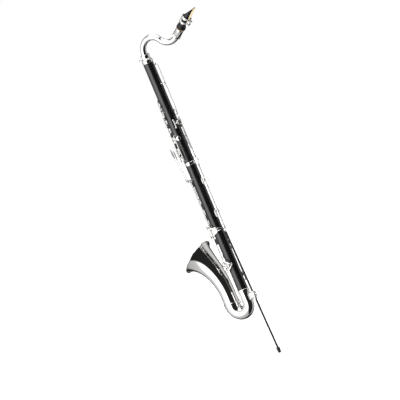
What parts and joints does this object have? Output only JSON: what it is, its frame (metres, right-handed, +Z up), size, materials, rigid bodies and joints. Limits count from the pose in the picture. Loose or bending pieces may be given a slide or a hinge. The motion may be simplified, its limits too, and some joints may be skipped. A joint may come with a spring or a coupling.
{
  "type": "bass clarinet",
  "caption": "Low E-flat bass clarinet with curved neck, beaked mouthpiece, sprung plated keys, upturned bell and sliding floor peg.",
  "frame": {"origin": "middle of the floor peg's flat tip, with the peg at the length it has at rest", "axes": "+Z up along the body's bore, -Y towards the bell's side and away from the player, +X to the player's left"},
  "size_m": [0.1254, 0.4148, 1.1428],
  "materials": {
    "black_resin": "glossy black moulded resin",
    "hard_rubber": "polished black hard rubber",
    "nickel_plate": "bright nickel plating",
    "blued_steel": "dark satin steel",
    "reed_cane": "pale dry cane",
    "tenon_cork": "natural cork",
    "peg_rubber": "matt black rubber"
  },
  "bodies": {
    "body": {"upper_joint": "black_resin", "lower_joint": "black_resin", "top_ring": "nickel_plate", "middle_ring": "nickel_plate", "bottom_ring": "nickel_plate", "middle_tenon_cork": "tenon_cork", "lower_tenon_cork": "tenon_cork", "bow": "nickel_plate", "bell": "nickel_plate", "bell_rim_bead": "nickel_plate", "bell_ring": "nickel_plate", "bell_brace": "nickel_plate", "peg_clamp": "nickel_plate", "neck_receiver": "nickel_plate", "thumb_rest": "nickel_plate", "strap_ring": "nickel_plate", "key_guard_triangle": "nickel_plate", "key_guard_diamond": "nickel_plate"},
    "neck": {"neck_pipe": "nickel_plate", "neck_sleeve": "nickel_plate", "neck_cork": "tenon_cork", "neck_tenon": "nickel_plate"},
    "mouthpiece": {"mouthpiece": "hard_rubber", "reed": "reed_cane", "ligature_band": "nickel_plate"},
    "floor_peg": {"peg_rod": "blued_steel", "peg_tip": "peg_rubber"},
    "register_key": {"register_key": "nickel_plate"},
    "throat_a_key": {"throat_a_key": "nickel_plate"},
    "throat_g_sharp_key": {"throat_g_sharp_key": "nickel_plate"},
    "side_key_1": {"side_key_1": "nickel_plate"},
    "side_key_2": {"side_key_2": "nickel_plate"},
    "side_key_3": {"side_key_3": "nickel_plate"},
    "side_key_4": {"side_key_4": "nickel_plate"},
    "left_plate_1": {"left_plate_1": "nickel_plate"},
    "left_plate_2": {"left_plate_2": "nickel_plate"},
    "left_plate_3": {"left_plate_3": "nickel_plate"},
    "sliver_key": {"sliver_key": "nickel_plate"},
    "c_sharp_key": {"c_sharp_key": "nickel_plate"},
    "thumb_key": {"thumb_key": "nickel_plate"},
    "bridge_key_upper": {"bridge_key_upper": "nickel_plate"},
    "octave_link_upper": {"octave_link_upper": "nickel_plate"},
    "bridge_key_lower": {"bridge_key_lower": "nickel_plate"},
    "octave_link_lower": {"octave_link_lower": "nickel_plate"},
    "right_plate_1": {"right_plate_1": "nickel_plate"},
    "right_plate_2": {"right_plate_2": "nickel_plate"},
    "right_plate_3": {"right_plate_3": "nickel_plate"},
    "left_key_e_b": {"left_key_e_b": "nickel_plate"},
    "left_key_f_c": {"left_key_f_c": "nickel_plate"},
    "left_key_f_sharp_c_sharp": {"left_key_f_sharp_c_sharp": "nickel_plate"},
    "right_key_a_flat_e_flat": {"right_key_a_flat_e_flat": "nickel_plate"},
    "right_key_f_sharp_c_sharp": {"right_key_f_sharp_c_sharp": "nickel_plate"},
    "right_key_f_c": {"right_key_f_c": "nickel_plate"},
    "right_key_e_b": {"right_key_e_b": "nickel_plate"},
    "right_key_low_e_flat": {"right_key_low_e_flat": "nickel_plate"},
    "neck_screw": {"neck_screw": "nickel_plate"},
    "peg_screw": {"peg_screw": "nickel_plate"},
    "ligature_screw_lower": {"ligature_screw_lower": "nickel_plate"},
    "ligature_screw_upper": {"ligature_screw_upper": "nickel_plate"}
  },
  "joints": [
    {"name": "register_key_hinge", "type": "hinge", "parent": "body", "child": "register_key", "pos_m": [-0.00455, -0.01323, 0.95585], "axis": [-0.9848, -0.1736, 0], "range_deg": [0, 2.2], "stiffness_Nm_per_rad": 0.1, "springref_deg": -9.17},
    {"name": "throat_a_key_hinge", "type": "hinge", "parent": "body", "child": "throat_a_key", "pos_m": [0, -0.06123, 0.88985], "axis": [1, 0, 0], "range_deg": [0, 7], "stiffness_Nm_per_rad": 0.06, "springref_deg": -9.17},
    {"name": "throat_g_sharp_key_hinge", "type": "hinge", "parent": "body", "child": "throat_g_sharp_key", "pos_m": [0.01841, -0.05145, 0.86685], "axis": [0.5592, 0.829, 0], "range_deg": [0, 6], "stiffness_Nm_per_rad": 0.06, "springref_deg": -9.17},
    {"name": "side_key_1_hinge", "type": "hinge", "parent": "body", "child": "side_key_1", "pos_m": [-0.01841, -0.05145, 0.85285], "axis": [0.5592, -0.829, 0], "range_deg": [0, 2.2], "stiffness_Nm_per_rad": 0.06, "springref_deg": -9.17},
    {"name": "side_key_2_hinge", "type": "hinge", "parent": "body", "child": "side_key_2", "pos_m": [-0.02172, -0.04365, 0.83885], "axis": [0.2079, -0.9781, 0], "range_deg": [0, 2.6], "stiffness_Nm_per_rad": 0.06, "springref_deg": -9.17},
    {"name": "side_key_3_hinge", "type": "hinge", "parent": "body", "child": "side_key_3", "pos_m": [-0.02196, -0.03575, 0.82485], "axis": [-0.1478, -0.989, 0], "range_deg": [0, 3.2], "stiffness_Nm_per_rad": 0.06, "springref_deg": -9.17},
    {"name": "side_key_4_hinge", "type": "hinge", "parent": "body", "child": "side_key_4", "pos_m": [-0.01883, -0.02727, 0.77085], "axis": [-0.5299, -0.848, 0], "range_deg": [0, 4.5], "stiffness_Nm_per_rad": 0.06, "springref_deg": -9.17},
    {"name": "left_plate_1_hinge", "type": "hinge", "parent": "body", "child": "left_plate_1", "pos_m": [0.01732, -0.05636, 0.8176], "axis": [0, 0, -1], "range_deg": [0, 8], "stiffness_Nm_per_rad": 0.06, "springref_deg": -9.17},
    {"name": "left_plate_2_hinge", "type": "hinge", "parent": "body", "child": "left_plate_2", "pos_m": [0.01732, -0.05636, 0.78685], "axis": [0, 0, -1], "range_deg": [0, 8], "stiffness_Nm_per_rad": 0.06, "springref_deg": -9.17},
    {"name": "left_plate_3_hinge", "type": "hinge", "parent": "body", "child": "left_plate_3", "pos_m": [0.01732, -0.05636, 0.75185], "axis": [0, 0, -1], "range_deg": [0, 8], "stiffness_Nm_per_rad": 0.06, "springref_deg": -9.17},
    {"name": "sliver_key_hinge", "type": "hinge", "parent": "body", "child": "sliver_key", "pos_m": [0.01732, -0.05636, 0.71435], "axis": [0, 0, 1], "range_deg": [0, 7], "stiffness_Nm_per_rad": 0.06, "springref_deg": -9.17},
    {"name": "c_sharp_key_hinge", "type": "hinge", "parent": "body", "child": "c_sharp_key", "pos_m": [0.02448, -0.03989, 0.73935], "axis": [0, 0, -1], "range_deg": [0, 7], "stiffness_Nm_per_rad": 0.06, "springref_deg": -9.17},
    {"name": "thumb_key_hinge", "type": "hinge", "parent": "body", "child": "thumb_key", "pos_m": [0.01762, -0.02201, 0.81885], "axis": [0, 0, 1], "range_deg": [0, 8], "stiffness_Nm_per_rad": 0.06, "springref_deg": -9.17},
    {"name": "bridge_key_upper_hinge", "type": "hinge", "parent": "body", "child": "bridge_key_upper", "pos_m": [-0.01474, -0.0586, 0.7731], "axis": [0, 0, 1], "range_deg": [0, 5], "stiffness_Nm_per_rad": 0.06, "springref_deg": -9.17},
    {"name": "octave_link_upper_hinge", "type": "hinge", "parent": "body", "child": "octave_link_upper", "pos_m": [-0.01112, -0.0172, 0.76435], "axis": [0, 0, 1], "range_deg": [0, 5], "stiffness_Nm_per_rad": 0.06, "springref_deg": -9.17},
    {"name": "bridge_key_lower_hinge", "type": "hinge", "parent": "body", "child": "bridge_key_lower", "pos_m": [-0.01732, -0.05636, 0.60935], "axis": [0, 0, 1], "range_deg": [0, 8], "stiffness_Nm_per_rad": 0.06, "springref_deg": -9.17},
    {"name": "octave_link_lower_hinge", "type": "hinge", "parent": "body", "child": "octave_link_lower", "pos_m": [-0.01112, -0.0172, 0.55585], "axis": [0, 0, 1], "range_deg": [0, 5], "stiffness_Nm_per_rad": 0.06, "springref_deg": -9.17},
    {"name": "right_plate_1_hinge", "type": "hinge", "parent": "body", "child": "right_plate_1", "pos_m": [-0.01732, -0.05636, 0.53235], "axis": [0, 0, 1], "range_deg": [0, 8], "stiffness_Nm_per_rad": 0.06, "springref_deg": -9.17},
    {"name": "right_plate_2_hinge", "type": "hinge", "parent": "body", "child": "right_plate_2", "pos_m": [-0.01732, -0.05636, 0.49585], "axis": [0, 0, 1], "range_deg": [0, 8], "stiffness_Nm_per_rad": 0.06, "springref_deg": -9.17},
    {"name": "right_plate_3_hinge", "type": "hinge", "parent": "body", "child": "right_plate_3", "pos_m": [-0.01732, -0.05636, 0.45785], "axis": [0, 0, 1], "range_deg": [0, 8], "stiffness_Nm_per_rad": 0.06, "springref_deg": -9.17},
    {"name": "left_key_e_b_hinge", "type": "hinge", "parent": "body", "child": "left_key_e_b", "pos_m": [0.01732, -0.05636, 0.46935], "axis": [0, 0, 1], "range_deg": [0, 8], "stiffness_Nm_per_rad": 0.14, "springref_deg": -9.17},
    {"name": "left_key_f_c_hinge", "type": "hinge", "parent": "body", "child": "left_key_f_c", "pos_m": [0.02238, -0.049, 0.54635], "axis": [0, 0, 1], "range_deg": [0, 8], "stiffness_Nm_per_rad": 0.06, "springref_deg": -9.17},
    {"name": "left_key_f_sharp_c_sharp_hinge", "type": "hinge", "parent": "body", "child": "left_key_f_sharp_c_sharp", "pos_m": [0.01188, -0.06046, 0.59535], "axis": [0, 0, 1], "range_deg": [0, 7], "stiffness_Nm_per_rad": 0.06, "springref_deg": -9.17},
    {"name": "right_key_a_flat_e_flat_hinge", "type": "hinge", "parent": "body", "child": "right_key_a_flat_e_flat", "pos_m": [-0.01732, -0.05636, 0.41485], "axis": [0, 0, -1], "range_deg": [0, 7], "stiffness_Nm_per_rad": 0.06, "springref_deg": -9.17},
    {"name": "right_key_f_sharp_c_sharp_hinge", "type": "hinge", "parent": "body", "child": "right_key_f_sharp_c_sharp", "pos_m": [-0.02302, -0.04741, 0.37685], "axis": [0, 0, -1], "range_deg": [0, 7], "stiffness_Nm_per_rad": 0.06, "springref_deg": -9.17},
    {"name": "right_key_f_c_hinge", "type": "hinge", "parent": "body", "child": "right_key_f_c", "pos_m": [-0.02122, -0.02678, 0.42485], "axis": [0, 0, 1], "range_deg": [0, 8], "stiffness_Nm_per_rad": 0.06, "springref_deg": -9.17},
    {"name": "right_key_e_b_hinge", "type": "hinge", "parent": "body", "child": "right_key_e_b", "pos_m": [-0.02122, -0.02678, 0.40885], "axis": [0, 0, 1], "range_deg": [0, 8], "stiffness_Nm_per_rad": 0.06, "springref_deg": -9.17},
    {"name": "right_key_low_e_flat_hinge", "type": "hinge", "parent": "body", "child": "right_key_low_e_flat", "pos_m": [-0.02122, -0.02678, 0.33085], "axis": [0, 0, 1], "range_deg": [0, 8], "stiffness_Nm_per_rad": 0.06, "springref_deg": -9.17},
    {"name": "neck_turn", "type": "hinge", "parent": "body", "child": "neck", "pos_m": [0, -0.03903, 1.04435], "axis": [0, 0, 1], "continuous": true},
    {"name": "mouthpiece_turn", "type": "hinge", "parent": "neck", "child": "mouthpiece", "pos_m": [0, 0.13063, 1.09773], "axis": [0, 0.8241, 0.5664], "continuous": true},
    {"name": "floor_peg_slide", "type": "slide", "parent": "body", "child": "floor_peg", "axis": [0, 0.0314, -0.9995], "range_m": [-0.04, 0.2]},
    {"name": "neck_screw_turn", "type": "hinge", "parent": "body", "child": "neck_screw", "pos_m": [0, -0.05103, 1.0529], "axis": [0, -1, 0], "continuous": true},
    {"name": "peg_screw_turn", "type": "hinge", "parent": "body", "child": "peg_screw", "pos_m": [0, -0.00273, 0.20785], "axis": [0, 1, 0], "continuous": true},
    {"name": "ligature_screw_lower_turn", "type": "hinge", "parent": "mouthpiece", "child": "ligature_screw_lower", "pos_m": [-0.007, 0.16627, 1.09796], "axis": [1, 0, 0], "continuous": true},
    {"name": "ligature_screw_upper_turn", "type": "hinge", "parent": "mouthpiece", "child": "ligature_screw_upper", "pos_m": [-0.007, 0.17616, 1.10476], "axis": [1, 0, 0], "continuous": true}
  ],
  "couplings": [
    {"joint": "bridge_key_lower_hinge", "follows": "right_plate_1_hinge", "ratio": 1},
    {"joint": "bridge_key_upper_hinge", "follows": "right_plate_1_hinge", "ratio": 0.625},
    {"joint": "octave_link_lower_hinge", "follows": "right_plate_3_hinge", "ratio": 0.625},
    {"joint": "octave_link_upper_hinge", "follows": "right_plate_3_hinge", "ratio": 0.625},
    {"joint": "right_key_f_c_hinge", "follows": "left_key_f_c_hinge", "ratio": 1},
    {"joint": "right_key_e_b_hinge", "follows": "left_key_e_b_hinge", "ratio": 1},
    {"joint": "left_key_f_sharp_c_sharp_hinge", "follows": "right_key_f_sharp_c_sharp_hinge", "ratio": 1}
  ]
}
